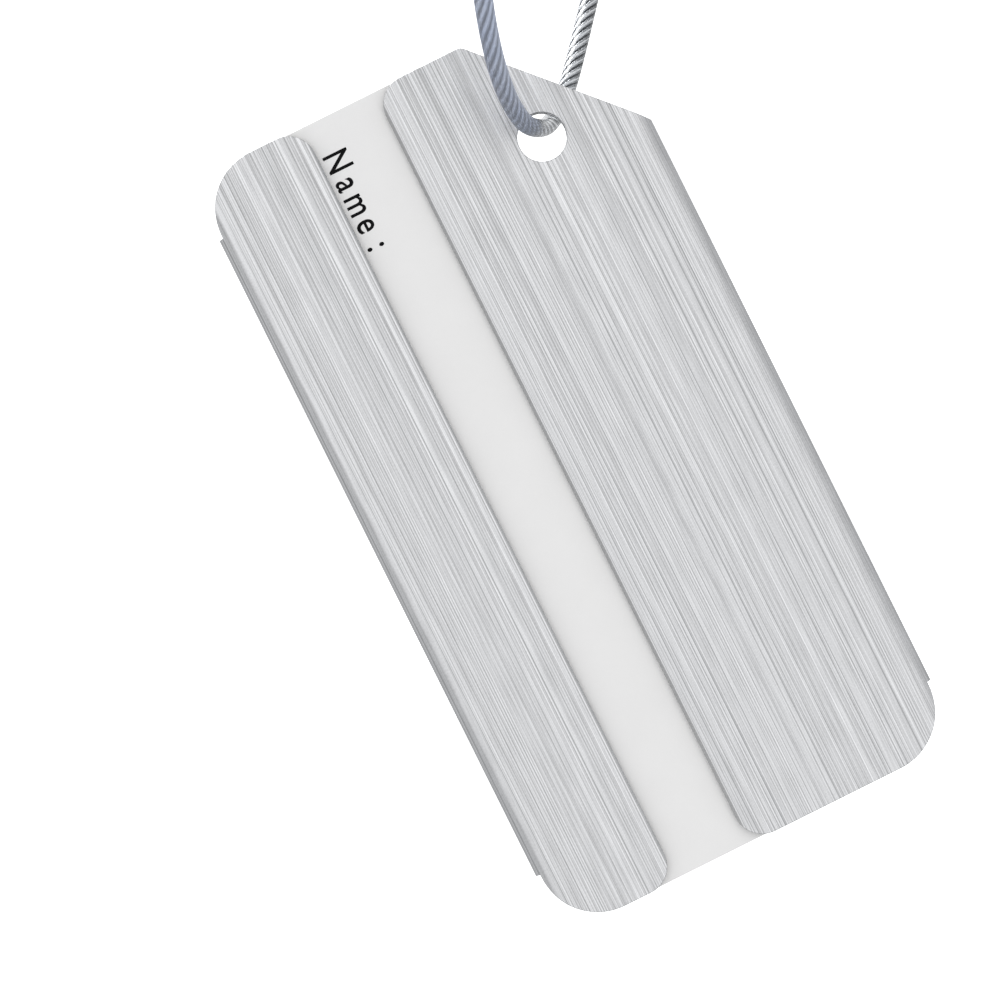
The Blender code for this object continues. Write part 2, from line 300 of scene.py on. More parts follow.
class Nodes:
    """Short ways to add and link shader nodes in one material."""

    def __init__(self, name):
        self.material = bpy.data.materials.new(name)
        self.material.use_nodes = True
        self.tree = self.material.node_tree
        self.shader = self.tree.nodes["Principled BSDF"]

    def add(self, kind, **settings):
        node = self.tree.nodes.new(kind)
        for key, value in settings.items():
            setattr(node, key, value)
        return node

    def link(self, source, target):
        self.tree.links.new(source, target)

    def attribute(self, name):
        return self.add("ShaderNodeAttribute", attribute_name=name).outputs["Vector"]

    def object_place(self):
        return self.add("ShaderNodeTexCoord").outputs["Object"]

    def scaled(self, vector, scale, offset=(0, 0, 0)):
        node = self.add("ShaderNodeMapping")
        node.inputs["Scale"].default_value = scale
        node.inputs["Location"].default_value = offset
        self.link(vector, node.inputs["Vector"])
        return node.outputs["Vector"]

    def noise(self, vector, detail, roughness=0.5):
        node = self.add("ShaderNodeTexNoise")
        node.inputs["Scale"].default_value = 1.0
        node.inputs["Detail"].default_value = detail
        node.inputs["Roughness"].default_value = roughness
        self.link(vector, node.inputs["Vector"])
        return node.outputs["Fac"]

    def spread(self, value, low, high, to_low=0.0, to_high=1.0, smooth=False):
        node = self.add("ShaderNodeMapRange")
        node.interpolation_type = "SMOOTHSTEP" if smooth else "LINEAR"
        node.inputs["From Min"].default_value = low
        node.inputs["From Max"].default_value = high
        node.inputs["To Min"].default_value = to_low
        node.inputs["To Max"].default_value = to_high
        self.link(value, node.inputs["Value"])
        return node.outputs["Result"]

    def vary(self, noise, to_low=0.0, to_high=1.0):
        """Stretches the range that a noise mostly keeps to."""
        return self.spread(noise, 0.3, 0.7, to_low, to_high)

    def math(self, operation, a, b):
        node = self.add("ShaderNodeMath", operation=operation)
        for value, socket in zip((a, b), node.inputs):
            if isinstance(value, (int, float)):
                socket.default_value = value
            else:
                self.link(value, socket)
        return node.outputs["Value"]

    def mix(self, factor, a, b):
        """Mixes two colours, each a tuple or a socket, by a number or a socket."""
        node = self.add("ShaderNodeMix", data_type="RGBA")
        sockets = {s.identifier: s for s in node.inputs}
        for value, key in ((factor, "Factor_Float"), (a, "A_Color"), (b, "B_Color")):
            if isinstance(value, tuple):
                sockets[key].default_value = (*value, 1.0)
            elif isinstance(value, (int, float)):
                sockets[key].default_value = value
            else:
                self.link(value, sockets[key])
        return {s.identifier: s for s in node.outputs}["Result_Color"]

    def bump(self, height, strength, distance):
        node = self.add("ShaderNodeBump")
        node.inputs["Strength"].default_value = strength
        node.inputs["Distance"].default_value = distance
        self.link(height, node.inputs["Height"])
        return node.outputs["Normal"]

    def set(self, **values):
        """Sets sockets of the shader, named with _ for spaces."""
        for key, value in values.items():
            socket = self.shader.inputs[key.replace("_", " ")]
            if isinstance(value, (int, float, tuple)):
                socket.default_value = value
            else:
                self.link(value, socket)


def brushed_aluminium():
    """Brushed along the tag. The attribute holds unfolded coordinates, so the streaks follow the folds."""
    n = Nodes("brushed_aluminium")
    place = n.attribute("sheet")

    def streaks(width, length, shift):
        return n.noise(n.scaled(place, (1 / width, 1 / length, 1), shift), 0.0)

    broad = streaks(0.0022, 0.600, (0, 0.15, 0))
    medium = streaks(0.00066, 0.500, (7.3, 0.15, 0))
    fine = streaks(0.00032, 0.400, (3.1, 0.15, 5.0))
    hair = streaks(0.00012, 0.300, (11.7, 0.15, 2.0))
    dark_scratch = streaks(0.00020, 0.280, (1.9, 0.15, 9.0))
    bright_scratch = streaks(0.00020, 0.220, (5.3, 0.15, 4.0))
    short = streaks(0.00018, 0.0040, (2.2, 0, 6.0))
    grain = n.noise(n.scaled(place, (1 / 0.00013, 1 / 0.00020, 1)), 1.0, 0.5)

    tone = 0.580
    swings = ((broad, 0.015), (medium, 0.042), (fine, 0.060), (hair, 0.160), (short, 0.035), (grain, 0.045))
    for lines, swing in swings:
        tone = n.math("ADD", tone, n.vary(lines, -swing, swing))
    dark = n.spread(dark_scratch, 0.66, 0.72, 0.0, 0.80, smooth=True)
    bright = n.spread(bright_scratch, 0.66, 0.72, 0.0, 0.35, smooth=True)
    metal = n.add("ShaderNodeCombineColor")
    for channel, share in (("Red", 1.0), ("Green", 1.0), ("Blue", 1.012)):
        n.link(n.math("MULTIPLY", tone, share), metal.inputs[channel])
    colour = n.mix(dark, metal.outputs["Color"], (0.30, 0.305, 0.31))
    colour = n.mix(bright, colour, (0.88, 0.885, 0.89))
    # the sheared edges of the sheet are duller and have no brush lines
    depth = n.add("ShaderNodeSeparateXYZ")
    n.link(place, depth.inputs["Vector"])
    sheared = n.math(
        "MULTIPLY",
        n.spread(depth.outputs["Z"], 0.00003, 0.00010, smooth=True),
        n.spread(depth.outputs["Z"], SHEET - 0.00003, SHEET - 0.00010, smooth=True),
    )
    bare = n.mix(n.vary(grain), (0.46, 0.465, 0.47), (0.54, 0.545, 0.55))
    colour = n.mix(sheared, colour, bare)
    rough = n.math("ADD", n.vary(fine, 0.36, 0.46), n.vary(grain, -0.02, 0.02))
    height = n.math("ADD", n.math("MULTIPLY", fine, 0.5), n.math("MULTIPLY", hair, 0.5))
    n.set(
        Base_Color=colour,
        Metallic=1.0,
        Roughness=rough,
        Anisotropic=0.5,
        Normal=n.bump(height, 0.25, 0.00002),
    )
    return n.material


def card_stock():
    n = Nodes("card_stock")
    place = n.attribute("sheet")
    cloud = n.noise(n.scaled(place, (220, 220, 220)), 3.0, 0.55)
    fibre = n.noise(n.scaled(place, (9000, 3500, 9000)), 2.0, 0.6)
    tone = n.mix(n.vary(cloud), (0.902, 0.890, 0.880), (0.922, 0.910, 0.900))
    tone = n.mix(n.spread(fibre, 0.35, 0.65, 0.0, 0.05), tone, (0.78, 0.78, 0.78))
    n.set(
        Base_Color=tone,
        Roughness=n.vary(cloud, 0.55, 0.66),
        Specular_IOR_Level=0.35,
        Normal=n.bump(fibre, 0.10, 0.00001),
    )
    return n.material


def print_ink():
    n = Nodes("print_ink")
    speck = n.noise(n.scaled(n.object_place(), (9000, 9000, 9000)), 2.0, 0.6)
    n.set(
        Base_Color=n.mix(n.vary(speck), (0.004, 0.004, 0.0045), (0.008, 0.008, 0.009)),
        Roughness=n.vary(speck, 0.55, 0.70),
        Specular_IOR_Level=0.05,
    )
    return n.material


def steel_wire():
    """Painted shade: dark in the grooves between the strands and bright on their crowns, which are also
    smoother.
    """
    n = Nodes("steel_wire")
    place = n.object_place()
    patch = n.noise(n.scaled(place, (900, 900, 900)), 2.0, 0.5)
    fine = n.noise(n.scaled(place, (6000, 6000, 6000)), 1.0, 0.5)
    reach = n.add("ShaderNodeAttribute", attribute_name="reach").outputs["Fac"]
    crown_reach = n.math("ADD", reach, n.vary(patch, -0.02, 0.02))
    crown = n.spread(crown_reach, 0.68, 0.88, smooth=True)
    # painted shade: dark in the grooves between the strands, bright on the crowns
    colour = n.mix(crown, (0.13, 0.145, 0.17), (0.96, 0.97, 0.98))
    colour = n.mix(n.spread(fine, 0.55, 0.8, 0.0, 0.25), colour, (0.40, 0.42, 0.46))
    n.set(
        Base_Color=colour,
        Metallic=1.0,
        Roughness=n.spread(crown, 0.0, 1.0, 0.40, 0.20),
        Normal=n.bump(fine, 0.06, 0.00001),
    )
    return n.material


def clear_nylon():
    """Clear on the loop's back run; on its front run, towards -Y, rougher, less clear and tinted blue, a
    painted reflection.
    """
    n = Nodes("clear_nylon")
    place = n.object_place()
    haze = n.noise(n.scaled(place, (500, 500, 300)), 2.0, 0.5)
    depth = n.add("ShaderNodeSeparateXYZ")
    n.link(place, depth.inputs["Vector"])
    front = n.spread(depth.outputs["Y"], 0.003, -0.005, smooth=True)
    rough = n.math("ADD", n.spread(front, 0.0, 1.0, 0.02, 0.42), n.vary(haze, 0.0, 0.05))
    clear = n.mix(n.vary(haze), (0.95, 0.97, 0.99), (0.99, 0.99, 1.0))
    # painted reflection: a bluish tint on the front run
    painted_blue_tint = n.mix(n.vary(haze), (0.66, 0.73, 0.90), (0.76, 0.81, 0.94))
    n.set(
        Base_Color=n.mix(front, clear, painted_blue_tint),
        Roughness=rough,
        Transmission_Weight=n.spread(front, 0.0, 1.0, 1.0, 0.76),
        IOR=1.50,
    )
    return n.material


def plated_steel():
    """Satin plate. The attribute hollow darkens the roots of threads and knurling with painted shade."""
    n = Nodes("plated_steel")
    place = n.object_place()
    patch = n.noise(n.scaled(place, (700, 700, 700)), 3.0, 0.5)
    turning = n.noise(n.scaled(place, (300, 300, 26000)), 2.0, 0.6)
    colour = n.mix(n.vary(patch), (0.47, 0.47, 0.48), (0.60, 0.60, 0.60))
    colour = n.mix(n.spread(turning, 0.5, 0.8, 0.0, 0.5, smooth=True), colour, (0.74, 0.74, 0.74))
    hollow = n.add("ShaderNodeAttribute", attribute_name="hollow").outputs["Fac"]
    # painted shade: darker the deeper a point lies in a thread or in knurling
    colour = n.mix(n.spread(hollow, 0.15, 0.9, smooth=True), colour, (0.10, 0.10, 0.11))
    n.set(
        Base_Color=colour,
        Metallic=1.0,
        Roughness=n.vary(turning, 0.20, 0.36),
        Normal=n.bump(turning, 0.12, 0.00001),
    )
    return n.material


# ---------------------------------------------------------------- the cable


def loop_point(s, z):
    """A point of the loop's plane in the row's frame."""
    return Vector((s * math.sin(LOOP_TURN), s * math.cos(LOOP_TURN), z + CABLE_R - LOOP_R))


def route_point(t):
    """A point of the smooth curve through the route, t from 0 to the number of its spans (Catmull-Rom)."""
    last = len(ROUTE) - 1
    i = min(int(t), last - 1)
    part = t - i
    a, b, c, d = (Vector(ROUTE[max(0, min(last, k))]) for k in (i - 1, i, i + 1, i + 2))
    return 0.5 * (
        2 * b + (c - a) * part + (2 * a - 5 * b + 4 * c - d) * part**2 + (3 * b - a - 3 * c + d) * part**3
    )


def even_points(step):
    """Points at an even distance of about step along the route, in the row's frame."""
    fine = [route_point((len(ROUTE) - 1) * i / 6000) for i in range(6001)]
    along = [0.0]
    for a, b in zip(fine, fine[1:]):
        along.append(along[-1] + (b - a).length)
    count = round(along[-1] / step)
    points, k = [], 0
    for i in range(count + 1):
        want = along[-1] * i / count
        while k < len(fine) - 2 and along[k + 1] < want:
            k += 1
        share = (want - along[k]) / max(along[k + 1] - along[k], 1e-12)
        points.append(loop_point(*fine[k].lerp(fine[k + 1], share)))
    return points


def frames(points):
    """The tangent and two normals at each point of a curve in the loop's plane."""
    across = Vector((math.cos(LOOP_TURN), -math.sin(LOOP_TURN), 0))
    made = []
    for i in range(len(points)):
        ahead = points[min(i + 1, len(points) - 1)] - points[max(i - 1, 0)]
        tangent = ahead.normalized()
        normal = across.cross(tangent).normalized()
        made.append((tangent, normal, tangent.cross(normal)))
    return made


def sweep(bm, centres, rings):
    """Skins a row of rings of points and closes both ends with a fan."""
    rows = [[bm.verts.new(p) for p in ring] for ring in rings]
    count = len(rows[0])
    for a, b in zip(rows, rows[1:]):
        for j in range(count):
            k = (j + 1) % count
            bm.faces.new((a[j], a[k], b[k], b[j]))
    for row, centre, flip in ((rows[0], centres[0], True), (rows[-1], centres[-1], False)):
        middle = bm.verts.new(centre)
        for j in range(count):
            k = (j + 1) % count
            bm.faces.new((row[k], row[j], middle) if flip else (row[j], row[k], middle))


def strand_radius(angle):
    """The outline of seven coated wires, six round one, as a distance from the strand's centre."""
    wire = STRAND_R / 3
    away = (angle + math.pi / 6) % (math.pi / 3) - math.pi / 6
    bare = 2 * wire * math.cos(away) + math.sqrt(wire * wire - (2 * wire * math.sin(away)) ** 2)
    return STRAND_R - (STRAND_R - bare) * WIRE_RELIEF


def add_strands(material):
    """Six strands laid right-handed round a core strand, each of seven wires laid the other way.

    The attribute reach holds each point's distance from the cable's centre, which tells crowns from grooves for
    the painted shade in the grooves.
    """
    points = even_points(CABLE_STEP)
    axes = frames(points)
    length = sum((b - a).length for a, b in zip(points, points[1:]))
    sides = 24
    bm = bmesh.new()
    reach = []
    for strand in range(STRANDS + 1):
        turn_r = 0.0 if strand == STRANDS else STRAND_TURN_R
        centres = []
        outwards = []
        for i, (point, (tangent, normal, other)) in enumerate(zip(points, axes)):
            angle = math.tau * (strand / STRANDS + length * i / (len(points) - 1) / LAY)
            out = normal * math.cos(angle) + other * math.sin(angle)
            outwards.append(out)
            centres.append(point + out * turn_r)
        rings = []
        for i, (point, centre, out) in enumerate(zip(points, centres, outwards)):
            ahead = centres[min(i + 1, len(centres) - 1)] - centres[max(i - 1, 0)]
            side = ahead.normalized().cross(out).normalized()
            out = side.cross(ahead.normalized())
            twist = -math.tau * length * i / (len(points) - 1) / WIRE_LAY
            ring = []
            for j in range(sides):
                angle = math.tau * j / sides
                r = strand_radius(angle + twist)
                ring.append(centre + (out * math.cos(angle) + side * math.sin(angle)) * r)
            rings.append(ring)
            reach += [(p - point).length / CABLE_R for p in ring]
        sweep(bm, centres, rings)
        reach += [0.5, 0.5]
    layer = bm.verts.layers.float.new("reach")
    bm.verts.ensure_lookup_table()
    for vert, value in zip(bm.verts, reach):
        vert[layer] = value
    bmesh.ops.recalc_face_normals(bm, faces=bm.faces)
    return add_piece("steel_strands", bm, material, "loop", ("cable",), sharp=60), points


def add_jacket(material):
    """The thin clear coat over the strands."""
    points = even_points(CABLE_STEP * 2)
    axes = frames(points)
    sides = 32
    rings = [
        [
            point + (normal * math.cos(a) + other * math.sin(a)) * CABLE_R
            for a in [math.tau * j / sides for j in range(sides)]
        ]
        for point, (_, normal, other) in zip(points, axes)
    ]
    bm = bmesh.new()
    sweep(bm, [points[0], points[-1]], rings)
    bmesh.ops.recalc_face_normals(bm, faces=bm.faces)
    return add_piece("clear_jacket", bm, material, "loop", sharp=60)


# ---------------------------------------------------------------- sheet parts


def offset_ring(ring, inset):
    """The ring moved to its left by inset, with mitred corners. A ring has the sheet on its left."""
    moved = []
    for i, point in enumerate(ring):
        here = Vector(point)
        before = (here - Vector(ring[i - 1])).normalized()
        after = (Vector(ring[(i + 1) % len(ring)]) - here).normalized()
        left = Vector((-before.y, before.x)) + Vector((-after.y, after.x))
        moved.append(tuple(here + left * (inset / (1 + before.dot(after)))))
    return moved


def signed_area(ring):
    return sum(a[0] * b[1] - b[0] * a[1] for a, b in zip(ring, ring[1:] + ring[:1])) / 2


def inside(point, ring):
    """Whether a point lies in a ring, by crossings."""
    x, y = point
    odd = False
    for (x0, y0), (x1, y1) in zip(ring, ring[1:] + ring[:1]):
        if (y0 > y) != (y1 > y) and x < x0 + (y - y0) / (y1 - y0) * (x1 - x0):
            odd = not odd
    return odd


def add_face(bm, rings, depth):
    """Fills the area inside the first ring and outside the others, at one depth."""
    points, edges = [], []
    for ring in rings:
        first = len(points)
        points += [Vector(p) for p in ring]
        edges += [(first + i, first + (i + 1) % len(ring)) for i in range(len(ring))]
    made, _, faces, _, _, _ = delaunay_2d_cdt(points, edges, [], 0, 1e-9)
    verts = [bm.verts.new((p.x, p.y, depth)) for p in made]
    for face in faces:
        middle = sum((made[k] for k in face), Vector((0, 0))) / len(face)
        if inside(middle, rings[0]) and not any(inside(middle, ring) for ring in rings[1:]):
            bm.faces.new([verts[k] for k in face])
    for vert in [v for v in verts if not v.link_faces]:
        bm.verts.remove(vert)


def flat_plate(outline, holes, thickness, edge_r):
    """A bmesh of a flat plate with edges rounded by edge_r: outline in x and y, depth in z from its front."""
    steps, hold = 4, 0.00003
    quarter = [math.pi / 2 * i / steps for i in range(steps + 1)]
    profile = [(edge_r + hold, 0.0)]
    profile += [(edge_r * (1 - math.sin(a)), edge_r * (1 - math.cos(a))) for a in quarter]
    profile += [(edge_r * (1 - math.cos(a)), thickness - edge_r * (1 - math.sin(a))) for a in quarter]
    profile.append((edge_r + hold, thickness))
    rings = [outline if signed_area(outline) > 0 else outline[::-1]]
    rings += [hole if signed_area(hole) < 0 else hole[::-1] for hole in holes]
    bm = bmesh.new()
    for ring in rings:
        rows = [
            [bm.verts.new((x, y, depth)) for x, y in offset_ring(ring, inset)] for inset, depth in profile
        ]
        for a, b in zip(rows, rows[1:]):
            for j in range(len(ring)):
                k = (j + 1) % len(ring)
                bm.faces.new((a[j], a[k], b[k], b[j]))
    for inset, depth in (profile[0], profile[-1]):
        add_face(bm, [offset_ring(ring, inset) for ring in rings], depth)
    bmesh.ops.remove_doubles(bm, verts=bm.verts, dist=2e-7)
    return bm


def store_sheet_place(bm):
    """Keeps each point's place in the flat plate as the attribute that the sheet's materials read."""
    layer = bm.verts.layers.float_vector.new("sheet")
    for vert in bm.verts:
        vert[layer] = vert.co


LEFT_BEND, RIGHT_BEND = LEFT + OUTER_R, RIGHT - OUTER_R  # where the folds meet the flat sheet
FOLD = math.pi * NEUTRAL_R  # width of a fold in the flat sheet
U_LEFT_FOLD = LEFT_FLAP_EDGE - LEFT_BEND  # the left flap's width, and where the left fold starts
U_BACK = U_LEFT_FOLD + FOLD
U_RIGHT_FOLD = U_BACK + RIGHT_BEND - LEFT_BEND
U_RIGHT_FLAP = U_RIGHT_FOLD + FOLD
U_END = U_RIGHT_FLAP + RIGHT_BEND - RIGHT_FLAP_EDGE


def unfold(x, front):
    """Where a point at x of the front or back layer lies in the flat sheet, from the left flap's edge."""
    if x < LEFT_BEND:
        share = math.asin(min(1.0, (LEFT_BEND - x) / OUTER_R)) / math.pi
        return U_LEFT_FOLD + FOLD * (share if front else 1 - share)
    if x > RIGHT_BEND:
        share = math.asin(min(1.0, (x - RIGHT_BEND) / OUTER_R)) / math.pi
        return U_RIGHT_FOLD + FOLD * (1 - share if front else share)
    if not front:
        return U_BACK + x - LEFT_BEND
    if x < (LEFT_FLAP_EDGE + RIGHT_FLAP_EDGE) / 2:
        return LEFT_FLAP_EDGE - x
    return U_RIGHT_FLAP + RIGHT_BEND - x


def fold_point(u, z, depth):
    """Where a point of the flat sheet lies in the folded holder, in the tag's own frame."""
    r = OUTER_R - depth
    if u < U_LEFT_FOLD:
        return Vector((LEFT_FLAP_EDGE - u, -r, z))
    if u < U_BACK:
        angle = math.pi * (u - U_LEFT_FOLD) / FOLD
        return Vector((LEFT_BEND - r * math.sin(angle), -r * math.cos(angle), z))
    if u < U_RIGHT_FOLD:
        return Vector((LEFT_BEND + u - U_BACK, r, z))
    if u < U_RIGHT_FLAP:
        angle = math.pi * (u - U_RIGHT_FOLD) / FOLD
        return Vector((RIGHT_BEND + r * math.sin(angle), r * math.cos(angle), z))
    return Vector((RIGHT_BEND - (u - U_RIGHT_FLAP), -r, z))


def crop_path():
    """The cut corner seen from the front: from the top edge, round the first bend and down to the fold."""
    slope = math.atan2(CROP_Z, CROP_X)
    tangent = CROP_R * math.tan(slope / 2)
    start = (RIGHT - CROP_X - tangent, TOP)
    path = arc((start[0], TOP - CROP_R), CROP_R, 90, 90 - math.degrees(slope), 8)
    end = (RIGHT, TOP - CROP_Z)
    steps = 40
    first = path[-1]
    for i in range(1, steps + 1):
        share = math.sin(math.pi / 2 * i / steps)
        path.append((first[0] + (end[0] - first[0]) * share, first[1] + (end[1] - first[1]) * share))
    return path


def holder_blank():
    """The outline of the flat sheet that the holder is folded from."""
    def side(path, front):
        return [(unfold(x, front), z) for x, z in path]

    steps = 20
    left_top = arc((LEFT + FOLD_STEP + CORNER_R, TOP - CORNER_R), CORNER_R, 90, 180, 28)
    left_bottom = arc((LEFT + FOLD_STEP + CORNER_R, BOTTOM + CORNER_R), CORNER_R, 180, 270, 28)
    right_bottom = arc((RIGHT - FOLD_STEP - CORNER_R, BOTTOM + CORNER_R), CORNER_R, 270, 360, 28)
    crop = crop_path()
    left_x, right_x = LEFT + FOLD_STEP, RIGHT - FOLD_STEP
    high, low = TOP - FOLD_END, BOTTOM + FOLD_END
    r = FLAP_CORNER_R
    outline = side(arc((LEFT_FLAP_EDGE - r, TOP - r), r, 0, 90, steps), True)
    outline += side(left_top + [(left_x, high)], True)
    outline += side([(left_x, high)] + left_top[::-1], False)
    outline += side(crop, False)
    outline += side(crop[-2::-1], True)
    outline += side(arc((RIGHT_FLAP_EDGE + r, TOP - r), r, 90, 180, steps), True)
    outline += side(arc((RIGHT_FLAP_EDGE + r, BOTTOM + r), r, 180, 270, steps), True)
    outline += side(right_bottom + [(right_x, low)], True)
    outline += side([(right_x, low)] + right_bottom[::-1], False)
    outline += side(left_bottom[::-1] + [(left_x, low)], False)
    outline += side([(left_x, low)] + left_bottom, True)
    outline += side(arc((LEFT_FLAP_EDGE - r, BOTTOM + r), r, 270, 360, steps), True)
    return outline


def soften_flap_edges(bm):
    """Lowers the front face at the flaps' inner edges: rounded on the left flap, bevelled on the right."""
    for vert in bm.verts:
        if vert.co.z > SHEET / 2:
            continue
        left, right = max(vert.co.x, 0), max(U_END - vert.co.x, 0)
        if left < FLAP_EDGE_R:
            vert.co.z = max(vert.co.z, FLAP_EDGE_R - math.sqrt(FLAP_EDGE_R**2 - (FLAP_EDGE_R - left) ** 2))
        if right < FLAP_BEVEL:
            vert.co.z = max(vert.co.z, FLAP_BEVEL_DROP * (1 - right / FLAP_BEVEL))


def score(bm, places):
    """Cuts all faces along lines of constant u, so that the sheet can bend or drop there."""
    for u in sorted(places):
        everything = bm.verts[:] + bm.edges[:] + bm.faces[:]
        bmesh.ops.bisect_plane(bm, geom=everything, dist=1e-8, plane_co=(u, 0, 0), plane_no=(1, 0, 0))


def add_holder(material):
    """The sheet with rounded edges, scored at every step of its folds and then bent."""
    holes = [arc((unfold(0.0, front), 0.0), HOLE_R, 0, 360, 96)[:-1] for front in (True, False)]
    bm = flat_plate(holder_blank(), holes, SHEET, EDGE_R)
    steps, hold = 28, 0.00005
    places = [FLAP_EDGE_R * (1 - math.cos(math.pi / 2 * i / 6)) for i in range(1, 7)] + [FLAP_EDGE_R + hold]
    places += [U_END - FLAP_BEVEL * share for share in (0.35, 0.7, 1.0)] + [U_END - FLAP_BEVEL - hold]
    for start in (U_LEFT_FOLD, U_RIGHT_FOLD):
        places += [start - hold, start + FOLD + hold]
        places += [start + FOLD * i / steps for i in range(steps + 1)]
    score(bm, places)
    soften_flap_edges(bm)
    store_sheet_place(bm)
    for vert in bm.verts:
        vert.co = TAG @ fold_point(*vert.co)
    bmesh.ops.recalc_face_normals(bm, faces=bm.faces)
    return add_piece("folded_sheet", bm, material, "holder", ("tag_holder",))


def card_outline():
    """The card follows the holder's cut corner, and has an open slot that lets it out past the cable."""
    left, right = LEFT + SHEET + CARD_SIDE_GAP, RIGHT - SHEET - CARD_SIDE_GAP
    top, bottom = TOP - CARD_END_GAP, BOTTOM + CARD_END_GAP
    slope = CROP_Z / CROP_X
    crop_x = RIGHT - CROP_X - CARD_END_GAP
    lip_r = 0.0003

    def crop_z(x):
        return top - slope * (x - crop_x)

    slot = arc((0, 0), SLOT_R, 180, 360, 40)
    return rounded(
        [(left, bottom, CARD_CORNER_R), (left, top, CARD_CORNER_R), (crop_x, top, CROP_R * 0.6)]
        + [(-SLOT_R, crop_z(-SLOT_R), lip_r)]
        + [(x, z, 0) for x, z in slot]
        + [(SLOT_R, crop_z(SLOT_R), lip_r), (right, crop_z(right), CROP_R)]
        + [(right, bottom, CARD_CORNER_R)],
        steps=16,
    )


def add_card(material):
    bm = flat_plate(card_outline(), [], CARD, CARD_EDGE_R)
    store_sheet_place(bm)
    for vert in bm.verts:
        x, z, depth = vert.co
        vert.co = TAG @ Vector((x, depth - CARD / 2, z))
    bmesh.ops.recalc_face_normals(bm, faces=bm.faces)
    return add_piece("card", bm, material, "card", ("name_card",))


def letter_mesh(letter):
    """One letter as a thin solid in its own x and y."""
    curve = bpy.data.curves.new("letter", "FONT")
    curve.body = letter
    curve.size = 1.0
    curve.extrude = 0.5
    curve.offset = LETTER_WEIGHT
    curve.resolution_u = 6
    shape = bpy.data.objects.new("letter", curve)
    bpy.context.scene.collection.objects.link(shape)
    bpy.context.view_layer.update()
    mesh = bpy.data.meshes.new_from_object(shape.evaluated_get(bpy.context.evaluated_depsgraph_get()))
    bpy.data.objects.remove(shape)
    bpy.data.curves.remove(curve)
    return mesh


def add_lettering(material):
    """The printed word: it reads down the tag, with its letters' tops to the right."""
    capital = letter_mesh(WORD[0])
    size = CAPITAL / (max(v.co.y for v in capital.vertices) - min(v.co.y for v in capital.vertices))
    bpy.data.meshes.remove(capital)
    bm = bmesh.new()
    for letter, place in zip(WORD, LETTER_PLACES):
        mesh = letter_mesh(letter)
        across = [v.co.x for v in mesh.vertices]
        middle = (max(across) + min(across)) / 2
        for vert in mesh.vertices:
            along, up, out = vert.co
            vert.co = TAG @ Vector((
                LETTER_BASE + up * size,
                -CARD / 2 - INK * (0.5 + out),
                place - (along - middle) * size * LETTER_NARROW,
            ))
        bm.from_mesh(mesh)
        bpy.data.meshes.remove(mesh)
    bmesh.ops.remove_doubles(bm, verts=bm.verts, dist=1e-8)
    bmesh.ops.recalc_face_normals(bm, faces=bm.faces)
    return add_piece("lettering", bm, material, "card")


# ---------------------------------------------------------------- the screw closure


def wave(x):
    """A triangle wave from 0 to 1 and back, of period 1."""
    return 1 - abs(2 * (x % 1) - 1)


def worked_radius(kind, r, z, angle, share):
    """The radius of a turned surface after it is threaded, crimped or knurled."""
    if kind == "thread":
        return r - THREAD_DEPTH * share * (1 - min(1.0, 1.25 * wave(z / THREAD_PITCH + angle / math.tau)))
    if kind == "crimp":
        return r - CRIMP_DEPTH * share * (0.5 + 0.5 * math.cos(CRIMPS * angle))
    if kind == "knurl":
        turn = KNURLS * angle / math.tau
        point = min(wave(turn + z / KNURL_RISE), wave(turn - z / KNURL_RISE))
        return r - KNURL_DEPTH * share * (1 - min(1.0, 1.3 * point))
    return r


def turned(profile, sides, closed):
    """Turns a profile of (radius, z, kind, share) about the closure's axis.

    The attribute hollow holds how deep a point lies in a thread or in knurling, from 0 to 1.
    """
    axis = loop_point(CLOSURE_S, CLOSURE_Z)
    depths = {"thread": THREAD_DEPTH, "knurl": KNURL_DEPTH}
    bm = bmesh.new()
    layer = bm.verts.layers.float.new("hollow")
    rows = []
    for r, z, kind, share in profile:
        row = []
        for j in range(1 if r == 0 else sides):
            angle = math.tau * j / sides
            away = worked_radius(kind, r, z, angle, share)
            vert = bm.verts.new(axis + Vector((away * math.cos(angle), away * math.sin(angle), z)))
            vert[layer] = (r - away) / depths[kind] if kind in depths else 0.0
            row.append(vert)
        rows.append(row)
    pairs = list(zip(rows, rows[1:])) + ([(rows[-1], rows[0])] if closed else [])
    for a, b in pairs:
        for j in range(sides):
            k = (j + 1) % sides
            corners = [a[j % len(a)], a[k % len(a)], b[k % len(b)], b[j % len(b)]]
            bm.faces.new(list(dict.fromkeys(corners)))
    bmesh.ops.recalc_face_normals(bm, faces=bm.faces)
    return bm


def plain(points):
    return [(r, z, "", 0.0) for r, z in points]


def worked(kind, r, start, end, step, fade):
    """A straight stretch of a profile with its detail fading in and out over a length of fade."""
    count = max(2, round(abs(end - start) / step))
    made = []
    for i in range(count + 1):
        z = start + (end - start) * i / count
        near = min(abs(z - start), abs(end - z))
        made.append((r, z, kind, min(1.0, near / fade) if fade else 1.0))
    return made


def eased(r, z, way_r, way_z, bevel=0.00008):
    """A corner of a profile as a small arc. way_r and way_z are the signs of its bulge from its centre."""
    first = 90 if (way_r > 0) == (way_z > 0) else 0
    angles = [math.radians(first + (90 if first == 0 else -90) * i / 4) for i in range(5)]
    return [
        (r - way_r * bevel * (1 - math.cos(a)), z - way_z * bevel * (1 - math.sin(a))) for a in angles
    ]


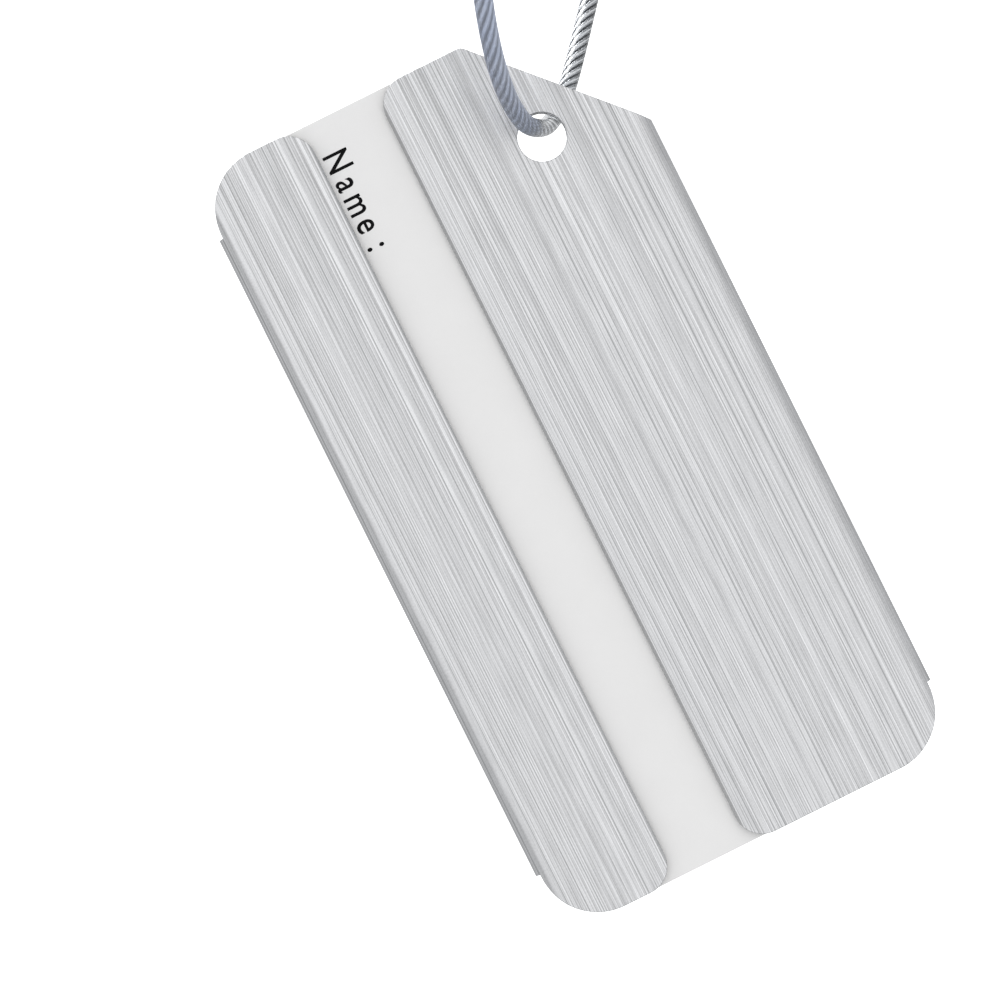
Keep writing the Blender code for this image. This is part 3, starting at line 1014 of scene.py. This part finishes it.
def add_stud(material):
    """The threaded stud, and the ferrule that is crimped to the cable below it."""
    low, shoulder = STUD_FERRULE_Z
    ferrule = STUD_FERRULE_R
    profile = plain([(0, STUD_TOP), (THREAD_R - CHAMFER, STUD_TOP)])
    profile += worked("thread", THREAD_R, STUD_TOP - CHAMFER * 0.8, shoulder, 0.00003, THREAD_FADE)
    profile += plain(eased(ferrule, shoulder, 1, 1))
    profile += worked("crimp", ferrule, STUD_CRIMP_Z[1], STUD_CRIMP_Z[0], CRIMP_STEP, CRIMP_FADE)
    profile += plain(eased(ferrule, low, 1, -1)[::-1])
    profile += plain(eased(BORE_R, low, -1, -1) + [(BORE_R, STUD_BORE_END), (0, STUD_BORE_END)])
    return add_piece("threaded_stud", turned(profile, 72, False), material, "loop",
                     ("stud_ferrule",), sharp=50)


def add_collar(material):
    """The ferrule on the cable's other end, crimped above the nut, with the flange that the nut turns on."""
    flange_low, flange_high = FLANGE_Z
    profile = plain([(0, COLLAR_BORE_END), (BORE_R, COLLAR_BORE_END)])
    profile += plain(eased(BORE_R, COLLAR_TOP, -1, 1)[::-1] + eased(COLLAR_R, COLLAR_TOP, 1, 1))
    profile += worked("crimp", COLLAR_R, COLLAR_CRIMP_Z[1], COLLAR_CRIMP_Z[0], CRIMP_STEP, CRIMP_FADE)
    profile += plain([(COLLAR_R, flange_high)])
    profile += plain(eased(FLANGE_R, flange_high, 1, 1) + eased(FLANGE_R, flange_low, 1, -1)[::-1])
    profile += plain([(0, flange_low)])
    return add_piece("collar", turned(profile, 64, False), material, "collar",
                     ("collar_ferrule",), sharp=50)


def add_nut(material):
    """The sleeve nut: three knurled bands outside, and inside its thread, its chamber and its lip."""
    low, high = NUT_Z
    chamber_low, chamber_high = NUT_CHAMBER_Z
    band = (high - low - 2 * CHAMFER) / GRIP_BANDS
    profile = plain([(NUT_R - CHAMFER, high), (NUT_R - CHAMFER * 0.3, high - CHAMFER * 0.3)])
    for i in range(GRIP_BANDS):
        top = high - CHAMFER - band * i
        start = top - (GRIP_GROOVE if i else 0)
        profile += worked("knurl", NUT_R, start, top - band + GRIP_GROOVE, 0.00005, 0.0)
        if i < GRIP_BANDS - 1:
            profile += plain([
                (NUT_R - GRIP_GROOVE, top - band + GRIP_GROOVE / 2),
                (NUT_R - GRIP_GROOVE, top - band - GRIP_GROOVE / 2),
            ])
    profile += plain([(NUT_R - CHAMFER * 0.3, low + CHAMFER * 0.3), (NUT_R - CHAMFER, low)])
    profile += plain([(THREAD_R + FIT + CHAMFER, low)])
    profile += worked("thread", THREAD_R + FIT, low + CHAMFER, chamber_low, 0.00006, 0.0)
    profile += plain([
        (FLANGE_R + FIT, chamber_low), (FLANGE_R + FIT, chamber_high), (COLLAR_R + FIT, chamber_high),
        (COLLAR_R + FIT, high - CHAMFER / 2), (COLLAR_R + FIT + CHAMFER / 2, high),
    ])
    return add_piece("knurled_nut", turned(profile, 182, True), material, "nut",
                     ("sleeve_nut",), sharp=40)


# ---------------------------------------------------------------- make everything

add_camera()
add_studio()

strands, cable_path = add_strands(steel_wire())
jacket = add_jacket(clear_nylon())
plating = plated_steel()
closure = [add_stud(plating), add_collar(plating), add_nut(plating)]
add_holder(brushed_aluminium())
add_card(card_stock())
add_lettering(print_ink())
